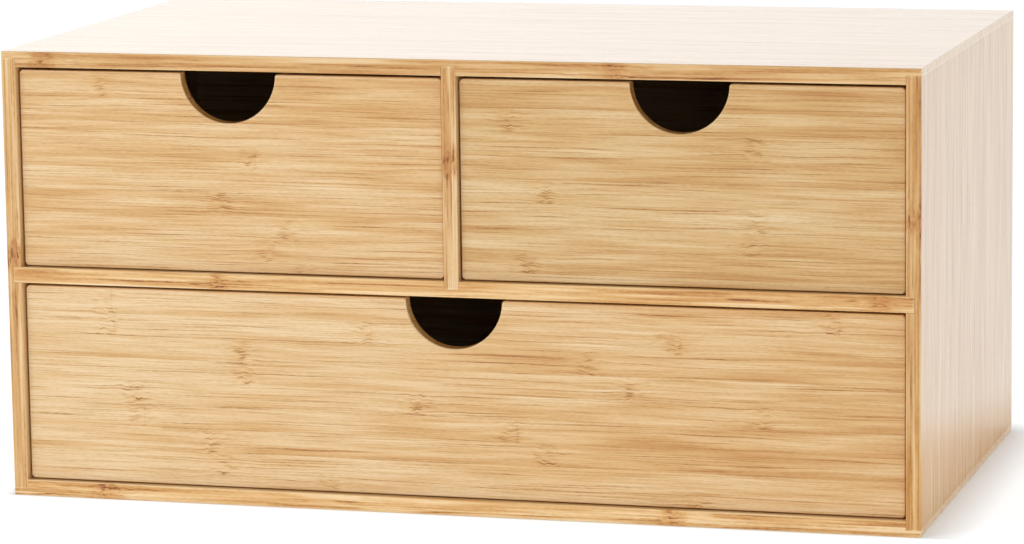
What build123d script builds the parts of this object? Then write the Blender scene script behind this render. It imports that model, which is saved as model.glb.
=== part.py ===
"""Desk organizer: a bamboo box with two small drawers side by side over one wide drawer.

Frame: +X to the right, +Y to the back, +Z up, in millimetres. The origin is the centre of the
footprint, on the surface that the box stands on, and the drawers open towards -Y.
"""

import os

from build123d import *

# ---------------------------------------------------------------- the whole box
WIDTH = 350.0           # along X
DEPTH = 198.0           # along Y
HEIGHT = 170.0          # along Z

# ---------------------------------------------------------------- carcass boards
LEVEL_BOARD = 6.0       # thickness of the top, the bottom and the shelf
UPRIGHT_BOARD = 5.6     # thickness of the sides and the divider
LIP = 2.5               # what the rabbets leave of the top and bottom over the sides' ends
HOUSING = 3.0           # depth of the housings and grooves in the carcass boards
GLUE_GAP = 0.1          # play at the bottom of a housing or groove
PANEL = 3.0             # thickness of the back panel
PANEL_INSET = 6.0       # from the rear edges to the back panel
CARCASS_EASE = 0.4      # rounding of the boards' arrises

# ---------------------------------------------------------------- drawers
FRONT_BOARD = 5.2       # thickness of a drawer front
FRONT_RECESS = 2.5      # how far a closed front stands behind the box's front edges
FRONT_CORNER = 1.5      # rounding of a front's outline
FRONT_EASE = 0.6        # rounding of a front's arrises
FRONT_SIDE_GAP = 0.6    # at each end of a front
FRONT_TOP_GAP = 1.2     # above a front
FRONT_BOTTOM_GAP = 0.4  # below a front
FINGER_RADIUS = 18.5    # half-round finger cutout, centred on the front's top edge
FINGER_CORNER = 0.9     # rounding where the cutout meets the top edge
BOX_BOARD = 5.0         # thickness of a drawer's sides and back
BOX_HEIGHT = 70.0       # height of a drawer's sides and back
BOX_BOTTOM = 3.0        # thickness of a drawer's bottom
BOX_BOTTOM_RISE = 3.0   # from the lower edge of a drawer's sides to its bottom
BOX_GROOVE = 2.5        # depth of the grooves and rabbets in a drawer's boards
BOX_EASE = 0.5          # rounding of the upper edges of a drawer's sides and back
BOX_LENGTH = 185.7      # from a drawer's front face to the back of its box
RUNNING_GAP = 0.2       # between a drawer's sides and the board that they slide on

# ---------------------------------------------------------------- worked out from the above
front_y = -DEPTH / 2
panel_front_y = DEPTH / 2 - PANEL_INSET - PANEL
panel_middle_y = panel_front_y + PANEL / 2
inside_width = WIDTH - 2 * UPRIGHT_BOARD
inside_height = HEIGHT - 2 * LEVEL_BOARD
level_height = (inside_height - LEVEL_BOARD) / 2
side_middle_x = (WIDTH - UPRIGHT_BOARD) / 2
side_inner_x = inside_width / 2
lower_floor_z = LEVEL_BOARD
shelf_z = lower_floor_z + level_height
upper_floor_z = shelf_z + LEVEL_BOARD
ceiling_z = HEIGHT - LEVEL_BOARD
rabbet = LEVEL_BOARD - LIP
shelf_depth = panel_front_y - front_y
shelf_middle_y = (panel_front_y + front_y) / 2
bay_width = (inside_width - UPRIGHT_BOARD) / 2
bay_middle_x = (bay_width + UPRIGHT_BOARD) / 2


def save(piece, name):
    """Label a finished piece and write it as its own STEP file."""
    piece.part.label = name
    export_step(piece.part, f"parts/{name}.step")


# ---------------------------------------------------------------- carcass
def make_capping_board(name, inner_z, outward, divider_housing):
    """Top or bottom board, from its inner face outwards, rabbeted over the sides' ends."""
    with BuildPart() as board:
        with BuildSketch(Plane.XY.offset(inner_z)):
            Rectangle(WIDTH, DEPTH)
        extrude(amount=outward * LEVEL_BOARD)
        fillet(board.edges(), CARCASS_EASE)
        with BuildSketch(Plane.XY.offset(inner_z)):
            with Locations((-side_middle_x, 0), (side_middle_x, 0)):
                Rectangle(UPRIGHT_BOARD, DEPTH)
        extrude(amount=outward * rabbet, mode=Mode.SUBTRACT)
        with BuildSketch(Plane.XY.offset(inner_z)):
            with Locations((0, panel_middle_y)):
                Rectangle(inside_width, PANEL)
        extrude(amount=outward * (HOUSING + GLUE_GAP), mode=Mode.SUBTRACT)
        if divider_housing:
            with BuildSketch(Plane.XY.offset(inner_z)):
                with Locations((0, shelf_middle_y)):
                    Rectangle(UPRIGHT_BOARD, shelf_depth)
            extrude(amount=outward * rabbet, mode=Mode.SUBTRACT)
    save(board, name)


def make_side(name, hand):
    """Upright side between the lips, housed for the shelf and grooved for the back panel.

    hand is -1 on the left and +1 on the right.
    """
    inner_face = Plane.YZ.offset(hand * side_inner_x)
    with BuildPart() as side:
        with BuildSketch(Plane.XY.offset(LIP)):
            with Locations((hand * side_middle_x, 0)):
                Rectangle(UPRIGHT_BOARD, DEPTH)
        extrude(amount=HEIGHT - 2 * LIP)
        fillet(side.edges().filter_by(Axis.Z), CARCASS_EASE)
        with BuildSketch(inner_face):
            with Locations((shelf_middle_y, shelf_z + LEVEL_BOARD / 2)):
                Rectangle(shelf_depth, LEVEL_BOARD)
            with Locations((panel_middle_y, HEIGHT / 2)):
                Rectangle(PANEL, HEIGHT)
        extrude(amount=hand * (HOUSING + GLUE_GAP), mode=Mode.SUBTRACT)
    save(side, name)


def make_shelf():
    """Shelf between the two levels of drawers, housed in the sides, with the divider in it."""
    with BuildPart() as middle_shelf:
        with BuildSketch(Plane.XY.offset(shelf_z)):
            with Locations((0, shelf_middle_y)):
                Rectangle(inside_width + 2 * HOUSING, shelf_depth)
        extrude(amount=LEVEL_BOARD)
        front_face = middle_shelf.faces().sort_by(Axis.Y)[0]
        fillet(front_face.edges().filter_by(Axis.X), CARCASS_EASE)
        with BuildSketch(Plane.XY.offset(upper_floor_z)):
            with Locations((0, shelf_middle_y)):
                Rectangle(UPRIGHT_BOARD, shelf_depth)
        extrude(amount=-HOUSING, mode=Mode.SUBTRACT)
    save(middle_shelf, "middle_shelf")


def make_divider():
    """Upright between the two upper drawers, let into the shelf below and the top above."""
    with BuildPart() as centre_divider:
        with BuildSketch(Plane.XY.offset(upper_floor_z - HOUSING)):
            with Locations((0, shelf_middle_y)):
                Rectangle(UPRIGHT_BOARD, shelf_depth)
        extrude(amount=HOUSING + level_height + rabbet)
        front_face = centre_divider.faces().sort_by(Axis.Y)[0]
        fillet(front_face.edges().filter_by(Axis.Z), CARCASS_EASE)
    save(centre_divider, "centre_divider")


def make_back_panel():
    """Thin panel in the grooves of the four outer boards."""
    with BuildPart() as back_panel:
        with BuildSketch(Plane.XY.offset(LEVEL_BOARD - HOUSING)):
            with Locations((0, panel_middle_y)):
                Rectangle(inside_width + 2 * HOUSING, PANEL)
        extrude(amount=inside_height + 2 * HOUSING)
    save(back_panel, "back_panel")


# ---------------------------------------------------------------- drawers
def make_front(name, middle_x, floor_z, opening_width):
    """Drawer front with a half-round finger cutout in the middle of its top edge."""
    width = opening_width - 2 * FRONT_SIDE_GAP
    low_z = floor_z + FRONT_BOTTOM_GAP
    high_z = floor_z + level_height - FRONT_TOP_GAP
    face_y = front_y + FRONT_RECESS
    back_of_front = Plane.XZ.offset(-face_y - FRONT_BOARD)
    box_floor_z = floor_z + RUNNING_GAP
    with BuildPart() as front:
        with BuildSketch(Plane.XZ.offset(-face_y)) as outline:
            with Locations((middle_x, (low_z + high_z) / 2)):
                RectangleRounded(width, high_z - low_z, FRONT_CORNER)
            with Locations((middle_x, high_z)):
                Circle(FINGER_RADIUS, mode=Mode.SUBTRACT)
            cutout_corners = outline.vertices().sort_by_distance((middle_x, high_z))[:2]
            fillet(cutout_corners, FINGER_CORNER)
        extrude(amount=-FRONT_BOARD)
        fillet(front.faces().sort_by(Axis.Y)[0].edges(), FRONT_EASE)
        with BuildSketch(back_of_front):
            with Locations((middle_x, box_floor_z + BOX_HEIGHT / 2)):
                with GridLocations(width - BOX_BOARD, 0, 2, 1):
                    Rectangle(BOX_BOARD, BOX_HEIGHT)
            with Locations((middle_x, box_floor_z + BOX_BOTTOM_RISE + BOX_BOTTOM / 2)):
                Rectangle(width - 2 * BOX_BOARD, BOX_BOTTOM)
        extrude(amount=BOX_GROOVE, mode=Mode.SUBTRACT)
    save(front, name)


def make_box_side(name, middle_x, floor_z, opening_width, hand):
    """Drawer side, from the rabbet in the front to the back of the box.

    hand is -1 on the left and +1 on the right.
    """
    outer_x = middle_x + hand * (opening_width / 2 - FRONT_SIDE_GAP)
    start_y = front_y + FRONT_RECESS + FRONT_BOARD - BOX_GROOVE
    end_y = front_y + FRONT_RECESS + BOX_LENGTH
    low_z = floor_z + RUNNING_GAP
    inner_face = Plane.YZ.offset(outer_x - hand * BOX_BOARD)
    with BuildPart() as side:
        with BuildSketch(Plane.XY.offset(low_z)):
            with Locations((outer_x - hand * BOX_BOARD / 2, (start_y + end_y) / 2)):
                Rectangle(BOX_BOARD, end_y - start_y)
        extrude(amount=BOX_HEIGHT)
        top_face = side.faces().sort_by(Axis.Z)[-1]
        fillet(top_face.edges().filter_by(Axis.Y), BOX_EASE)
        with BuildSketch(inner_face):
            with Locations(((start_y + end_y) / 2, low_z + BOX_BOTTOM_RISE + BOX_BOTTOM / 2)):
                Rectangle(end_y - start_y, BOX_BOTTOM)
            with Locations((end_y - BOX_BOARD / 2, low_z + BOX_HEIGHT / 2)):
                Rectangle(BOX_BOARD, BOX_HEIGHT)
        extrude(amount=hand * BOX_GROOVE, mode=Mode.SUBTRACT)
    save(side, name)


def make_box_back(name, middle_x, floor_z, opening_width):
    """Drawer back, in the rabbets at the rear ends of the drawer's sides."""
    width = opening_width - 2 * FRONT_SIDE_GAP - 2 * (BOX_BOARD - BOX_GROOVE)
    end_y = front_y + FRONT_RECESS + BOX_LENGTH
    low_z = floor_z + RUNNING_GAP
    with BuildPart() as back:
        with BuildSketch(Plane.XY.offset(low_z)):
            with Locations((middle_x, end_y - BOX_BOARD / 2)):
                Rectangle(width, BOX_BOARD)
        extrude(amount=BOX_HEIGHT)
        top_face = back.faces().sort_by(Axis.Z)[-1]
        fillet(top_face.edges().filter_by(Axis.X), BOX_EASE)
        with BuildSketch(Plane.XZ.offset(-end_y + BOX_BOARD)):
            with Locations((middle_x, low_z + BOX_BOTTOM_RISE + BOX_BOTTOM / 2)):
                Rectangle(width, BOX_BOTTOM)
        extrude(amount=-BOX_GROOVE, mode=Mode.SUBTRACT)
    save(back, name)


def make_box_bottom(name, middle_x, floor_z, opening_width):
    """Thin drawer bottom, in the grooves of the front, the sides and the back."""
    groove_play = BOX_GROOVE - GLUE_GAP
    width = opening_width - 2 * FRONT_SIDE_GAP - 2 * (BOX_BOARD - groove_play)
    start_y = front_y + FRONT_RECESS + FRONT_BOARD - groove_play
    end_y = front_y + FRONT_RECESS + BOX_LENGTH - BOX_BOARD + groove_play
    with BuildPart() as bottom:
        with BuildSketch(Plane.XY.offset(floor_z + RUNNING_GAP + BOX_BOTTOM_RISE)):
            with Locations((middle_x, (start_y + end_y) / 2)):
                Rectangle(width, end_y - start_y)
        extrude(amount=BOX_BOTTOM)
    save(bottom, name)


def make_drawer(name, middle_x, floor_z, opening_width):
    """The five boards of one drawer, in the opening that it closes."""
    make_front(f"{name}_front", middle_x, floor_z, opening_width)
    make_box_side(f"{name}_left_side", middle_x, floor_z, opening_width, -1)
    make_box_side(f"{name}_right_side", middle_x, floor_z, opening_width, 1)
    make_box_back(f"{name}_back", middle_x, floor_z, opening_width)
    make_box_bottom(f"{name}_bottom", middle_x, floor_z, opening_width)


os.makedirs("parts", exist_ok=True)
make_capping_board("top_board", ceiling_z, 1, True)
make_capping_board("bottom_board", lower_floor_z, -1, False)
make_side("left_side", -1)
make_side("right_side", 1)
make_shelf()
make_divider()
make_back_panel()
make_drawer("upper_left", -bay_middle_x, upper_floor_z, bay_width)
make_drawer("upper_right", bay_middle_x, upper_floor_z, bay_width)
make_drawer("lower", 0, lower_floor_z, inside_width)
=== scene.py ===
"""Looks of the bamboo desk organizer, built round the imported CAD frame.

Every board keeps its CAD shape and gets its own strip-laminated bamboo, worked out by nodes in the
board's own millimetres: strips side by side, fibres along the grain and knuckles across each strip.
"""

import math

import bpy
from mathutils import Matrix, Vector


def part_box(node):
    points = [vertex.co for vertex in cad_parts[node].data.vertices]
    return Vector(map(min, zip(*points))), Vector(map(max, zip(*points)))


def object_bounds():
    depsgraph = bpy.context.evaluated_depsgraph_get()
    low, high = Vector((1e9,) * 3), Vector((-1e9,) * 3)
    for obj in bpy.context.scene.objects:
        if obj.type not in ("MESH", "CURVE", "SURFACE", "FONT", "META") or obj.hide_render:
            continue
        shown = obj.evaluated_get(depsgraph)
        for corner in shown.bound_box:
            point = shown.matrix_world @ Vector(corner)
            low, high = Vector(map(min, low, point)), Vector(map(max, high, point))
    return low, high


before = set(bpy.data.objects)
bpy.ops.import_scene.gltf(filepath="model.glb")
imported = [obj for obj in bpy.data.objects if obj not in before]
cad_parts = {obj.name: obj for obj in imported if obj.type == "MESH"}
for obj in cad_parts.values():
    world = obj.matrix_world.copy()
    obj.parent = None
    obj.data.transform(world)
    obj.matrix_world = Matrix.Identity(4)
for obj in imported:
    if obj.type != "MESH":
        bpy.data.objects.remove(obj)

cad_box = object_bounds()

MM = 0.001

# the bamboo's measures, in millimetres
STRIP = 8.7                 # width of one bamboo strip
PLY = 2.1                   # thickness of one layer of strips
LAYER_START = 0.6           # how far into its first layer a board's face lies
EDGE_DEPTH = 0.3            # how far in from a board's low edge counts as that edge
ARRIS_HIGHLIGHT_WIDTH = 0.45                # width of the painted highlight along a board's arrises
FINGER_RADIUS = 18.5        # of the half-round cutout in each front
WALL_REACH = 0.15           # how near the cutout's radius counts as its sawn wall
KNUCKLE_LENGTH = 4.8        # reach of a knuckle's patch along the grain
KNUCKLE_RAGGED = 9.0        # how far the patch's outline strays
HALO_LENGTH = 16.0          # reach of the halo round a knuckle
KNUCKLE_SPACING = 260.0     # on boards that have no knuckles listed
NO_KNUCKLE = -60.0          # a place off the board, for a strip with fewer knuckles than others
RAMP_LOW = -100.0           # a ramp holds places as 0 to 1, from this one ...
RAMP_SPAN = 1000.0          # ... to this much further on
SEAM_WIDTH = 0.26           # of the dark line between strips
SKIN_PLACE = 0.7            # from a strip's lower seam to the middle of its darker skin
SKIN_WIDTH = 1.1
GLOSS_FADE = (-14.0, 10.0)  # where the coat of the painted reflection is thinnest and full, from the gloss_from line
LOW_GLOSS = 0.38            # weight of the thinnest coat, where the least reflection is painted

# the wood's mean colour, and what its fibres and its stains multiply that by (linear RGB)
BAMBOO = (0.800, 0.512, 0.232)
# a deeper copy of the bamboo for the upper right front: partly its own deeper colour, partly
# painted shade for the light falling off towards the right
DEEP_SHADED_BAMBOO = (0.745, 0.482, 0.211)
# a paler copy of the bamboo for the middle shelf and bottom board: painted light, lifting their
# front edges out of the shade between the drawers
LIT_PALE_BAMBOO = (0.870, 0.560, 0.250)
# the drawer boxes' bamboo, darker and greyer than the fronts: partly the boxes' own colour, partly
# painted shade deepening the near-black seen through the finger cutouts
SHADE_DARKENED_BOX_BAMBOO = (0.640, 0.455, 0.260)
FIBRE_SHADES = [
    (0.00, (1.07, 1.13, 1.25)),
    (0.30, (1.00, 1.00, 1.00)),
    (0.60, (0.86, 0.77, 0.62)),
    (0.85, (0.66, 0.49, 0.29)),
    (1.00, (0.40, 0.24, 0.10)),
]
STAIN_RANGE = 1.4           # the stain at the right-hand end of its ramp
STAIN_SHADES = [
    (0.000, (1.07, 1.17, 1.38)),
    (0.286, (1.00, 1.00, 1.00)),
    (0.429, (0.94, 0.87, 0.75)),
    (0.714, (0.82, 0.65, 0.43)),
    (1.000, (0.71, 0.48, 0.26)),
]


# ---------------------------------------------------------------- node building
class Nodes:
    """A node tree under construction, with short calls for the nodes that it is made of."""

    def __init__(self, tree):
        self.tree = tree
        self.tree.nodes.clear()

    def node(self, kind, **settings):
        made = self.tree.nodes.new(kind)
        for key, value in settings.items():
            setattr(made, key, value)
        return made

    def plug(self, socket, value):
        """Link value to the socket if it is another node's output, or else set it there."""
        if isinstance(value, bpy.types.NodeSocket):
            self.tree.links.new(value, socket)
        else:
            socket.default_value = value

    def math(self, operation, a, b=0.0, c=0.0, clamp=False):
        made = self.node("ShaderNodeMath", operation=operation, use_clamp=clamp)
        for socket, value in zip(made.inputs, (a, b, c)):
            self.plug(socket, value)
        return made.outputs[0]

    def vector(self, x=0.0, y=0.0, z=0.0):
        made = self.node("ShaderNodeCombineXYZ")
        for socket, value in zip(made.inputs, (x, y, z)):
            self.plug(socket, value)
        return made.outputs[0]

    def noise(self, at, detail=2.0, roughness=0.5, distortion=0.0):
        """Smooth noise about 0, mostly between -0.5 and 0.5, one wave per unit of at."""
        made = self.node("ShaderNodeTexNoise", noise_dimensions="3D")
        self.plug(made.inputs["Vector"], at)
        made.inputs["Scale"].default_value = 1.0
        made.inputs["Detail"].default_value = detail
        made.inputs["Roughness"].default_value = roughness
        made.inputs["Distortion"].default_value = distortion
        return self.math("SUBTRACT", made.outputs["Fac"], 0.5)

    def random(self, at):
        """Three random values from 0 to 1, the same wherever at is the same."""
        made = self.node("ShaderNodeTexWhiteNoise", noise_dimensions="3D")
        self.plug(made.inputs["Vector"], at)
        split = self.node("ShaderNodeSeparateColor")
        self.plug(split.inputs[0], made.outputs["Color"])
        return split.outputs[0], split.outputs[1], split.outputs[2]

    def rise(self, value, low, high):
        """0 below low, 1 above high, and a smooth step between them."""
        made = self.node("ShaderNodeMapRange", interpolation_type="SMOOTHSTEP")
        self.plug(made.inputs["Value"], value)
        made.inputs["From Min"].default_value = low
        made.inputs["From Max"].default_value = high
        return made.outputs["Result"]

    def hump(self, value, width):
        """A bell curve: 1 where value is 0, about 0.37 where it is width."""
        scaled = self.math("DIVIDE", value, width)
        squared = self.math("MULTIPLY", scaled, scaled)
        return self.math("EXPONENT", self.math("MULTIPLY", squared, -1.0))

    def total(self, *terms):
        """The sum of value * weight pairs and plain values."""
        result = 0.0
        for term in terms:
            if isinstance(term, tuple):
                result = self.math("MULTIPLY_ADD", term[0], term[1], result)
            else:
                result = self.math("ADD", term, result)
        return result

    def ramp(self, value, stops, interpolation="LINEAR"):
        made = self.node("ShaderNodeValToRGB")
        made.color_ramp.interpolation = interpolation
        elements = made.color_ramp.elements
        while len(elements) < len(stops):
            elements.new(1.0)
        for element, (position, colour) in zip(elements, stops):
            element.position = position
            element.color = (*colour, 1.0)
        self.plug(made.inputs[0], value)
        return made.outputs["Color"]


def multiply_colours(wood, first_colour, second_colour):
    mix = wood.node("ShaderNodeMix", data_type="RGBA", blend_type="MULTIPLY")
    mix.inputs["Factor"].default_value = 1.0
    wood.plug(mix.inputs[6], first_colour)      # the two colour sockets, which share their
    wood.plug(mix.inputs[7], second_colour)     # names with the number and vector ones
    return mix.outputs[2]


def new_material(name):
    material = bpy.data.materials.new(name)
    material.use_nodes = True
    return material, Nodes(material.node_tree)


# ---------------------------------------------------------------- bamboo
def board_place(wood, low):
    """A point's distances in millimetres from the board's low corner, along X, Y and Z."""
    place = wood.node("ShaderNodeTexCoord").outputs["Object"]
    shifted = wood.node("ShaderNodeVectorMath", operation="SUBTRACT")
    wood.plug(shifted.inputs[0], place)
    shifted.inputs[1].default_value = low
    scaled = wood.node("ShaderNodeVectorMath", operation="SCALE")
    wood.plug(scaled.inputs[0], shifted.outputs[0])
    scaled.inputs["Scale"].default_value = 1.0 / MM
    split = wood.node("ShaderNodeSeparateXYZ")
    wood.plug(split.inputs[0], scaled.outputs[0])
    return split.outputs


def from_knuckle(wood, knuckles, strips, strip, u, chance):
    """How far along the grain a point is from the nearest knuckle of its strip."""
    away = None
    for rank in range(max((len(found) for found in knuckles), default=0)):
        stops = []
        for index in range(strips):
            found = knuckles[index] if index < len(knuckles) else ()
            along = found[rank] if rank < len(found) else NO_KNUCKLE
            stops.append((index / strips, ((along - RAMP_LOW) / RAMP_SPAN,) * 3))
        share = wood.math("DIVIDE", wood.math("ADD", strip, 0.5), strips)
        picked = wood.ramp(share, stops, "CONSTANT")
        centre = wood.math("MULTIPLY_ADD", picked, RAMP_SPAN, RAMP_LOW)
        offset = wood.math("SUBTRACT", u, centre)
        if away is None:
            away = offset
        else:
            nearer = wood.math("LESS_THAN", wood.math("ABSOLUTE", offset),
                               wood.math("ABSOLUTE", away))
            change = wood.math("SUBTRACT", offset, away)
            away = wood.math("MULTIPLY_ADD", nearer, change, away)
    if away is None:
        shifted_u = wood.math("MULTIPLY_ADD", chance, KNUCKLE_SPACING, u)
        wrapped = wood.math("WRAP", shifted_u, KNUCKLE_SPACING, 0.0)
        away = wood.math("SUBTRACT", wrapped, KNUCKLE_SPACING / 2)
    return away


def arris_highlight_mask(wood, place, size):
    """1 on the board's arrises, which are where a point is near two outer faces at once: the mask
    of their painted highlight.
    """
    insets = []
    for distance, reach in zip(place, size):
        opposite = wood.math("SUBTRACT", float(reach), distance)
        insets.append(wood.math("MINIMUM", distance, opposite))
    nearest = wood.math("MINIMUM", wood.math("MINIMUM", insets[0], insets[1]), insets[2])
    farthest = wood.math("MAXIMUM", wood.math("MAXIMUM", insets[0], insets[1]), insets[2])
    second_nearest = wood.math("SUBTRACT", wood.total(insets[0], insets[1], insets[2]),
                               wood.math("ADD", nearest, farthest))
    return wood.hump(second_nearest, ARRIS_HIGHLIGHT_WIDTH)


def bamboo(node, grain, across, first_border, knuckles, seed, tone=(0.0, 0.0), edge=0.0,
           lines=0.15, variety=1.0, cutout=False, gloss_from=None, body=BAMBOO):
    """Material of one board.

    grain and across are the axes along and across the strips. first_border is the distance from
    the board's low edge to the first seam, and knuckles lists, for each strip from that edge up,
    how far along the grain its knuckles are. tone is how much deeper the colour is at the board's
    low and high end along the grain, edge how much deeper it is on the board's low edge, which is
    the front edge of a board whose strips lie side by side along Y. lines is the strength of the
    middling fibres and variety that of the differences between strips. cutout adds a painted
    highlight round the edge of a finger cutout and end grain on its sawn wall. gloss_from thins
    the coat below a slanting line, given by how far along the grain it is at the low and high
    edge: a painted reflection, dimmer where the shaded floor would be reflected. body is the
    wood's mean colour, which on some boards also carries painted light or shade.
    """
    material, wood = new_material(f"bamboo_{node}")
    low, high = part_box(node)
    size = (high - low) / MM
    axes = {"X": 0, "Y": 1, "Z": 2}
    along_axis, across_axis = axes[grain], axes[across]
    depth_axis = 3 - along_axis - across_axis
    place = board_place(wood, low)
    u = place[along_axis]
    v = place[across_axis]
    w = place[depth_axis]

    # which strip and layer a point is in, and where in the strip it lies, from 0 to 1
    strip_place = wood.math("DIVIDE", wood.math("ADD", v, STRIP - first_border), STRIP)
    strip = wood.math("FLOOR", strip_place)
    t = wood.math("FRACT", strip_place)
    layer = wood.math("FLOOR", wood.math("DIVIDE", wood.math("ADD", w, LAYER_START), PLY))
    first, second, third = wood.random(wood.vector(strip, layer, seed))

    strips = int((size[across_axis] + STRIP - first_border) / STRIP) + 1
    away = from_knuckle(wood, knuckles, strips, strip, u, first)

    # knuckle: a ragged patch as wide as the strip, with a wider halo round it
    seat = wood.vector(wood.math("MULTIPLY", u, 0.10), wood.math("MULTIPLY", v, 0.35), first)
    ragged = wood.math("MULTIPLY_ADD", wood.noise(seat, 1.0), KNUCKLE_RAGGED, away)
    patch = wood.hump(ragged, KNUCKLE_LENGTH)
    halo = wood.hump(away, HALO_LENGTH)

    # the fibres' own coordinates: they drift along a strip, and ripple at a knuckle
    drift = wood.noise(wood.vector(wood.math("DIVIDE", u, 60.0), strip, seed + 3.7), 2.0)
    ripple_at = wood.vector(wood.math("DIVIDE", u, 2.4), wood.math("DIVIDE", v, 3.0),
                            wood.math("ADD", w, seed))
    ripple = wood.noise(ripple_at, 1.0)
    swerve_at = wood.vector(wood.math("DIVIDE", u, 11.0), wood.math("DIVIDE", v, 5.0),
                            wood.math("ADD", w, seed + 1.9))
    swerve = wood.noise(swerve_at, 1.0)
    bend = wood.total(v, (drift, 1.8), (wood.math("MULTIPLY", ripple, patch), 1.7),
                      (wood.math("MULTIPLY", swerve, halo), 1.8))
    shift_u = wood.math("MULTIPLY_ADD", first, 900.0, u)

    def fibres(length_mm, width_mm, detail, offset):
        """Noise drawn out along the grain. offset keeps one set of fibres apart from another."""
        at = wood.vector(wood.math("DIVIDE", shift_u, length_mm),
                         wood.math("DIVIDE", bend, width_mm),
                         wood.math("MULTIPLY_ADD", w, 0.5 / width_mm, offset + seed))
        return wood.noise(at, detail)

    broad = fibres(60.0, 4.6, 1.0, 0.0)
    middle = fibres(42.0, 1.9, 1.0, 7.1)
    medium = fibres(36.0, 0.85, 1.0, 11.3)
    fine = fibres(25.0, 0.33, 1.0, 23.9)
    grain_noise = fibres(2.2, 0.34, 0.0, 31.7)
    streak = wood.rise(fibres(75.0, 0.48, 0.0, 41.2), 0.13, 0.25)
    pale_streak = wood.rise(fibres(40.0, 0.52, 0.0, 57.7), 0.13, 0.25)

    # seams between strips: thin lines that come and go, with a darker skin along one side
    below = wood.math("MULTIPLY", t, STRIP)
    to_seam = wood.math("MINIMUM", t, wood.math("SUBTRACT", 1.0, t))
    from_seam = wood.math("MULTIPLY", to_seam, STRIP)
    seam_at = wood.vector(wood.math("DIVIDE", u, 45.0), wood.math("ROUND", strip_place),
                          seed + 9.1)
    seam_on = wood.rise(wood.noise(seam_at, 2.0), -0.12, 0.16)
    seam = wood.math("MULTIPLY", wood.hump(from_seam, SEAM_WIDTH), seam_on)
    skin_line = wood.hump(wood.math("SUBTRACT", below, SKIN_PLACE), SKIN_WIDTH)
    skin = wood.math("MULTIPLY", skin_line, wood.rise(second, 0.3, 0.9))

    # knuckle marks: short rippled strokes, densest along the strip's lower side
    stroke = fibres(4.5, 0.62, 0.0, 71.3)
    low_side = wood.math("MULTIPLY_ADD", t, -0.7, 1.15)
    dark_marks = wood.math("MULTIPLY", wood.math("MULTIPLY", patch, low_side),
                           wood.rise(stroke, 0.03, 0.20))
    pale_marks = wood.math("MULTIPLY", patch, wood.rise(stroke, -0.03, -0.20))
    scar_place = wood.math("MULTIPLY_ADD", ripple, 1.6, wood.math("SUBTRACT", away, 2.5))
    scar = wood.math("MULTIPLY", wood.hump(scar_place, 0.36), wood.rise(third, 0.55, 0.75))

    # painted highlight: the arrises are painted paler, standing in for the light that their
    # rounding catches
    arris_highlight = arris_highlight_mask(wood, (u, v, w), (size[along_axis], size[across_axis], size[depth_axis]))

    # round a finger cutout its edge gets the same painted highlight, and the sawn wall behind it
    # shows end grain
    wall = 0.0
    if cutout:
        across_centre = wood.math("SUBTRACT", u, float(size[along_axis]) / 2)
        below_top = wood.math("SUBTRACT", v, float(size[across_axis]))
        squares = wood.math("ADD", wood.math("POWER", across_centre, 2.0),
                            wood.math("POWER", below_top, 2.0))
        from_rim = wood.math("SUBTRACT", wood.math("SQRT", squares), FINGER_RADIUS)
        at_front = wood.math("LESS_THAN", w, ARRIS_HIGHLIGHT_WIDTH)
        rim = wood.math("MULTIPLY", wood.hump(from_rim, ARRIS_HIGHLIGHT_WIDTH), at_front)
        arris_highlight = wood.math("MAXIMUM", arris_highlight, rim)
        wall = wood.math("MULTIPLY", wood.hump(from_rim, WALL_REACH),
                         wood.math("SUBTRACT", 1.0, at_front))

    # the low edge has long lines of its own, as strong on every board whatever its edge is
    on_edge = wood.math("LESS_THAN", v, EDGE_DEPTH)
    edge_fibres = wood.math("ADD", fibres(80.0, 0.45, 0.0, 83.1), fibres(60.0, 1.3, 0.0, 97.6))
    edge_lines = wood.math("MULTIPLY", on_edge, edge_fibres)
    edge_patch = wood.math("MULTIPLY", on_edge, patch)
    edge_marks = wood.math("MULTIPLY", on_edge, dark_marks)

    # fibres and marks darken the wood; stains, wider than fibres, mostly make it more orange
    darkness = wood.total(
        0.30,
        (middle, lines), (medium, 0.50), (fine, 1.25), (grain_noise, 0.42),
        (edge_lines, 0.70), (arris_highlight, -0.35),
        (streak, 0.36), (pale_streak, -0.15),
        (seam, 0.34), (patch, 0.02), (dark_marks, 0.48), (pale_marks, -0.36), (scar, 0.14),
        (edge_marks, 0.35), (wall, 0.20),
    )
    slope = (tone[1] - tone[0]) / size[along_axis]
    stain = wood.total(
        0.40 + tone[0],
        (u, slope), (on_edge, edge),
        (wood.math("SUBTRACT", second, 0.5), 0.34 * variety), (broad, 1.35 * variety),
        (middle, 0.70 * variety), (streak, 0.17), (skin, 0.26 * variety),
        (halo, -0.06), (patch, 0.18),
        (edge_patch, 0.40), (edge_lines, 0.9), (arris_highlight, -0.25), (wall, 0.40),
    )
    shade = wood.ramp(darkness, FIBRE_SHADES)
    tint = wood.ramp(wood.math("DIVIDE", stain, STAIN_RANGE), STAIN_SHADES)
    colour = multiply_colours(wood, multiply_colours(wood, shade, tint), (*body, 1.0))

    bump = wood.node("ShaderNodeBump")
    bump.inputs["Strength"].default_value = 0.08
    bump.inputs["Distance"].default_value = 0.00006
    wood.plug(bump.inputs["Height"], wood.math("MULTIPLY", darkness, -1.0))

    surface = wood.node("ShaderNodeBsdfPrincipled")
    wood.plug(surface.inputs["Base Color"], colour)
    wood.plug(surface.inputs["Roughness"], wood.math("MULTIPLY_ADD", darkness, 0.18, 0.36))
    wood.plug(surface.inputs["Normal"], bump.outputs[0])
    surface.inputs["Coat Weight"].default_value = 1.0
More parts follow.
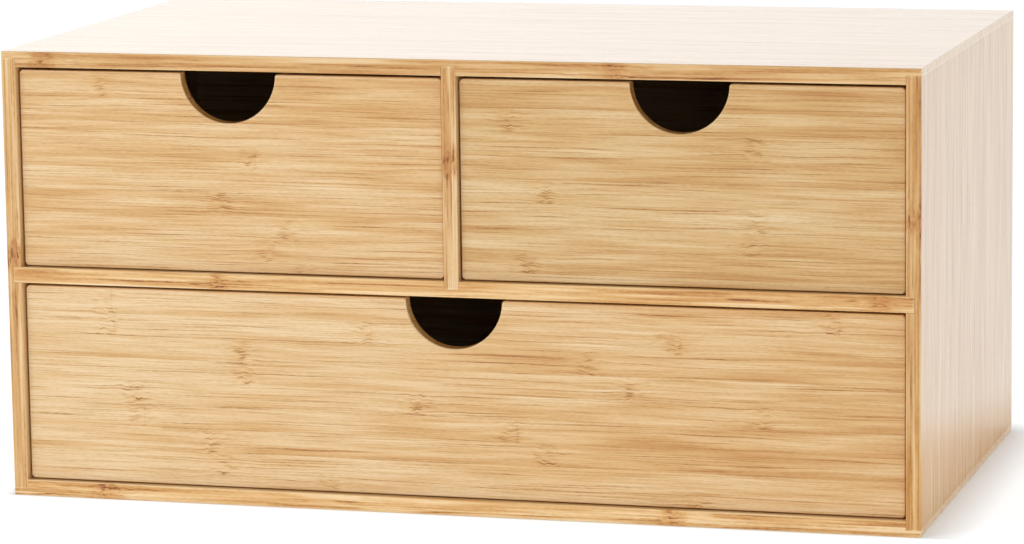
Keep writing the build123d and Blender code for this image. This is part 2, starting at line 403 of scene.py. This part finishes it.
    # painted reflection: below a slanting line the coat is thinned, so less of the bright backdrop
    # reflects there, standing in for the dim reflection of the shaded floor beside the box
    if gloss_from:
        slant = (gloss_from[1] - gloss_from[0]) / size[across_axis]
        line = wood.math("MULTIPLY_ADD", v, slant, gloss_from[0])
        risen = wood.rise(wood.math("SUBTRACT", u, line), *GLOSS_FADE)
        coat = wood.math("MULTIPLY_ADD", risen, 1.0 - LOW_GLOSS, LOW_GLOSS)
        wood.plug(surface.inputs["Coat Weight"], coat)
    surface.inputs["Coat Roughness"].default_value = 0.2
    surface.inputs["Coat IOR"].default_value = 1.5
    surface.inputs["Specular IOR Level"].default_value = 0.1
    output = wood.node("ShaderNodeOutputMaterial")
    wood.plug(output.inputs["Surface"], surface.outputs[0])
    return material


def dress(node, *description, **more):
    """Give a CAD board its own bamboo."""
    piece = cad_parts[node]
    material = bamboo(node, *description, **more)
    if not piece.material_slots:
        piece.data.materials.append(material)
    for slot in piece.material_slots:
        slot.material = material


# the fronts' tones make them paler at the left and deeper towards the right: partly the wood's own
# colour, partly painted light and shade for the light falling off from left to right
# the knuckles of each front, strip by strip, in millimetres along the grain
dress("upper_left_front", "X", "Z", 3.7,
      [(110.5,), (97.0,), (104.0,), (78.5,), (), (90.5,), (), (), (32.0,)], seed=1.0,
      tone=(0.0, 0.06), cutout=True)
dress("upper_right_front", "X", "Z", 3.0,
      [(), (24.0,), (107.5,), (111.0,), (32.0,), (), (110.0,), (18.5,), ()], seed=2.0,
      tone=(0.0, 0.16), cutout=True, body=DEEP_SHADED_BAMBOO)
dress("lower_front", "X", "Z", 4.4,
      [(120.0, 262.0), (78.0,), (72.0, 204.0), (44.0, 190.0), (42.0, 155.0, 285.0),
       (87.0, 236.0), (86.0, 220.0), (33.0, 134.0, 252.0), (32.0, 311.0)], seed=3.0,
      tone=(-0.42, 0.14), cutout=True)
dress("top_board", "X", "Y", 2.0, [(18.0, 236.5)], seed=4.0, edge=0.42, variety=0.5)
# the shelf and bottom board get the paler copy: painted light on their shaded front edges
dress("bottom_board", "X", "Y", 5.0, [(38.0, 258.0)], seed=5.0, edge=0.1, body=LIT_PALE_BAMBOO)
dress("middle_shelf", "X", "Y", 3.0, [(82.0, 332.0)], seed=6.0, edge=0.3, body=LIT_PALE_BAMBOO)
dress("left_side", "Z", "Y", 4.0, [(90.5,)], seed=7.0, edge=0.4, lines=0.6, variety=0.6)
# the right side's coat is thinned low down: a painted reflection, dimmer where the shaded floor
# would be reflected
dress("right_side", "Z", "Y", 6.0, [(112.0,)], seed=8.0, tone=(0.25, 0.3), edge=0.15,
      lines=0.6, variety=0.5, gloss_from=(36.0, 9.0))
dress("centre_divider", "Z", "Y", 3.0, [(46.0,)], seed=9.0, edge=0.3)
dress("back_panel", "X", "Z", 3.0, [], seed=10.0, tone=(0.1, 0.1))
# the drawer boxes get the darker, greyer copy: partly painted shade for the finger holes
for number, drawer in enumerate(("upper_left", "upper_right", "lower")):
    dress(f"{drawer}_left_side", "Y", "Z", 5.0, [], seed=20.0 + number, body=SHADE_DARKENED_BOX_BAMBOO)
    dress(f"{drawer}_right_side", "Y", "Z", 2.0, [], seed=30.0 + number, body=SHADE_DARKENED_BOX_BAMBOO)
    dress(f"{drawer}_back", "X", "Z", 6.0, [], seed=40.0 + number, body=SHADE_DARKENED_BOX_BAMBOO)
    dress(f"{drawer}_bottom", "X", "Y", 4.0, [], seed=50.0 + number, body=SHADE_DARKENED_BOX_BAMBOO)


# ---------------------------------------------------------------- floor, light and camera
AMBIENT = 0.08              # light from everywhere
BACK_GLOW = 1.40            # more from the bright backdrop behind, low down
RIGHT_GLOW = 0.53           # more from the right
TOP_GLOW = 0.70             # more from overhead
KEY_WATTS = 7.00            # softbox in front, to the left
FILL_WATTS = 3.20           # softbox in front, to the right
FLOOR_GLOW = 0.14           # the light table that the box stands on
PAINTED_SHADOW_DEPTH = 0.43             # how much brighter the floor glows away from the box; its lack near the box is a painted shadow
PAINTED_SHADOW_REACH = 0.019         # metres from the box to where the painted shadow ends and the table is at its brightest
LEFT_HASTE = 3.0            # how many times sooner it is so at the left ...
FRONT_HASTE = 9.0           # ... and in front

KEY_PLACE, KEY_SIZE = (-1.05, -1.15, 0.75), (0.9, 0.9)
FILL_PLACE, FILL_SIZE = (0.85, -1.60, 0.35), (1.0, 0.6)
SOFTBOX_TARGET = (0.0, 0.0, 0.08)

CAMERA_PLACE = (0.4627, -1.6436, 0.3576)
CAMERA_TARGET = (0.0233, -0.0990, 0.0923)
CAMERA_ROLL = -0.787        # degrees
CAMERA_LENS = 156.4         # millimetres, on a sensor of SENSOR_WIDTH
SENSOR_WIDTH = 36.0


def make_floor():
    """A white light table whose glow is dimmed close to the box: a painted shadow round its base.
    """
    mesh = bpy.data.meshes.new("floor")
    reach = 4.0
    corners = [(-reach, -reach, 0), (reach, -reach, 0), (reach, reach, 0), (-reach, reach, 0)]
    mesh.from_pydata(corners, [], [(0, 1, 2, 3)])
    floor = bpy.data.objects.new("floor", mesh)
    bpy.context.scene.collection.objects.link(floor)
    material, sheet = new_material("pale_floor")
    split = sheet.node("ShaderNodeSeparateXYZ")
    sheet.plug(split.inputs[0], sheet.node("ShaderNodeTexCoord").outputs["Object"])
    x, y = split.outputs[0], split.outputs[1]
    low, high = cad_box
    to_right = sheet.math("MAXIMUM", sheet.math("SUBTRACT", x, high[0]), 0.0)
    to_left = sheet.math("MAXIMUM", sheet.math("SUBTRACT", low[0], x), 0.0)
    to_front = sheet.math("MAXIMUM", sheet.math("SUBTRACT", low[1], y), 0.0)
    to_back = sheet.math("MAXIMUM", sheet.math("SUBTRACT", y, high[1]), 0.0)
    # painted shadow: the glow rises with distance from the box, darkening the floor round its base
    away = sheet.total(to_right, to_back, (to_left, LEFT_HASTE), (to_front, FRONT_HASTE))
    clear = sheet.math("DIVIDE", away, PAINTED_SHADOW_REACH, clamp=True)
    surface = sheet.node("ShaderNodeBsdfPrincipled")
    surface.inputs["Base Color"].default_value = (0.92, 0.93, 0.94, 1.0)
    surface.inputs["Roughness"].default_value = 0.8
    surface.inputs["Specular IOR Level"].default_value = 0.0
    surface.inputs["Emission Color"].default_value = (0.85, 0.93, 1.0, 1.0)
    glow = sheet.math("MULTIPLY_ADD", clear, PAINTED_SHADOW_DEPTH, FLOOR_GLOW)
    sheet.plug(surface.inputs["Emission Strength"], glow)
    output = sheet.node("ShaderNodeOutputMaterial")
    sheet.plug(output.inputs["Surface"], surface.outputs[0])
    mesh.materials.append(material)


def make_softbox(name, place, size, watts):
    """A rectangular lamp at place, turned towards the box."""
    light = bpy.data.lights.new(name, "AREA")
    light.shape = "RECTANGLE"
    light.size, light.size_y = size
    light.energy = watts
    softbox = bpy.data.objects.new(name, light)
    softbox.location = place
    aim = Vector(SOFTBOX_TARGET) - Vector(place)
    softbox.rotation_euler = aim.to_track_quat("-Z", "Y").to_euler()
    bpy.context.scene.collection.objects.link(softbox)


def make_world():
    """A white studio: dim on the whole, with a bright backdrop low down behind."""
    world = bpy.data.worlds.new("white_studio")
    world.use_nodes = True
    sky = Nodes(world.node_tree)
    split = sky.node("ShaderNodeSeparateXYZ")
    sky.plug(split.inputs[0], sky.node("ShaderNodeTexCoord").outputs["Generated"])
    side, depth, up = split.outputs
    low_down = sky.rise(up, 0.60, 0.15)
    leftward = sky.math("MULTIPLY_ADD", side, -0.72, 0.81)
    behind = sky.math("MULTIPLY", sky.rise(depth, 0.3, 0.9), low_down)
    back = sky.math("MULTIPLY", behind, leftward)
    right = sky.math("MULTIPLY", sky.rise(side, 0.2, 0.9), sky.rise(up, 0.8, 0.2))
    top = sky.rise(up, 0.4, 0.9)
    background = sky.node("ShaderNodeBackground")
    background.inputs["Color"].default_value = (1.0, 1.0, 1.0, 1.0)
    sky.plug(background.inputs["Strength"],
             sky.total(AMBIENT, (back, BACK_GLOW), (right, RIGHT_GLOW), (top, TOP_GLOW)))
    output = sky.node("ShaderNodeOutputWorld")
    sky.plug(output.inputs["Surface"], background.outputs[0])
    bpy.context.scene.world = world


def make_camera():
    """A long lens in front, to the right of the box and a little above it."""
    data = bpy.data.cameras.new("camera")
    data.sensor_width = SENSOR_WIDTH
    data.lens = CAMERA_LENS
    camera = bpy.data.objects.new("camera", data)
    place = Vector(CAMERA_PLACE)
    target = Vector(CAMERA_TARGET)
    roll = math.radians(CAMERA_ROLL)
    turn = (target - place).to_track_quat("-Z", "Y").to_matrix().to_4x4()
    camera.matrix_world = Matrix.Translation(place) @ turn @ Matrix.Rotation(roll, 4, "Z")
    bpy.context.scene.collection.objects.link(camera)
    bpy.context.scene.camera = camera


make_floor()
make_world()
make_softbox("key_softbox", KEY_PLACE, KEY_SIZE, KEY_WATTS)
make_softbox("fill_softbox", FILL_PLACE, FILL_SIZE, FILL_WATTS)
make_camera()
bpy.context.scene.view_settings.view_transform = "Standard"
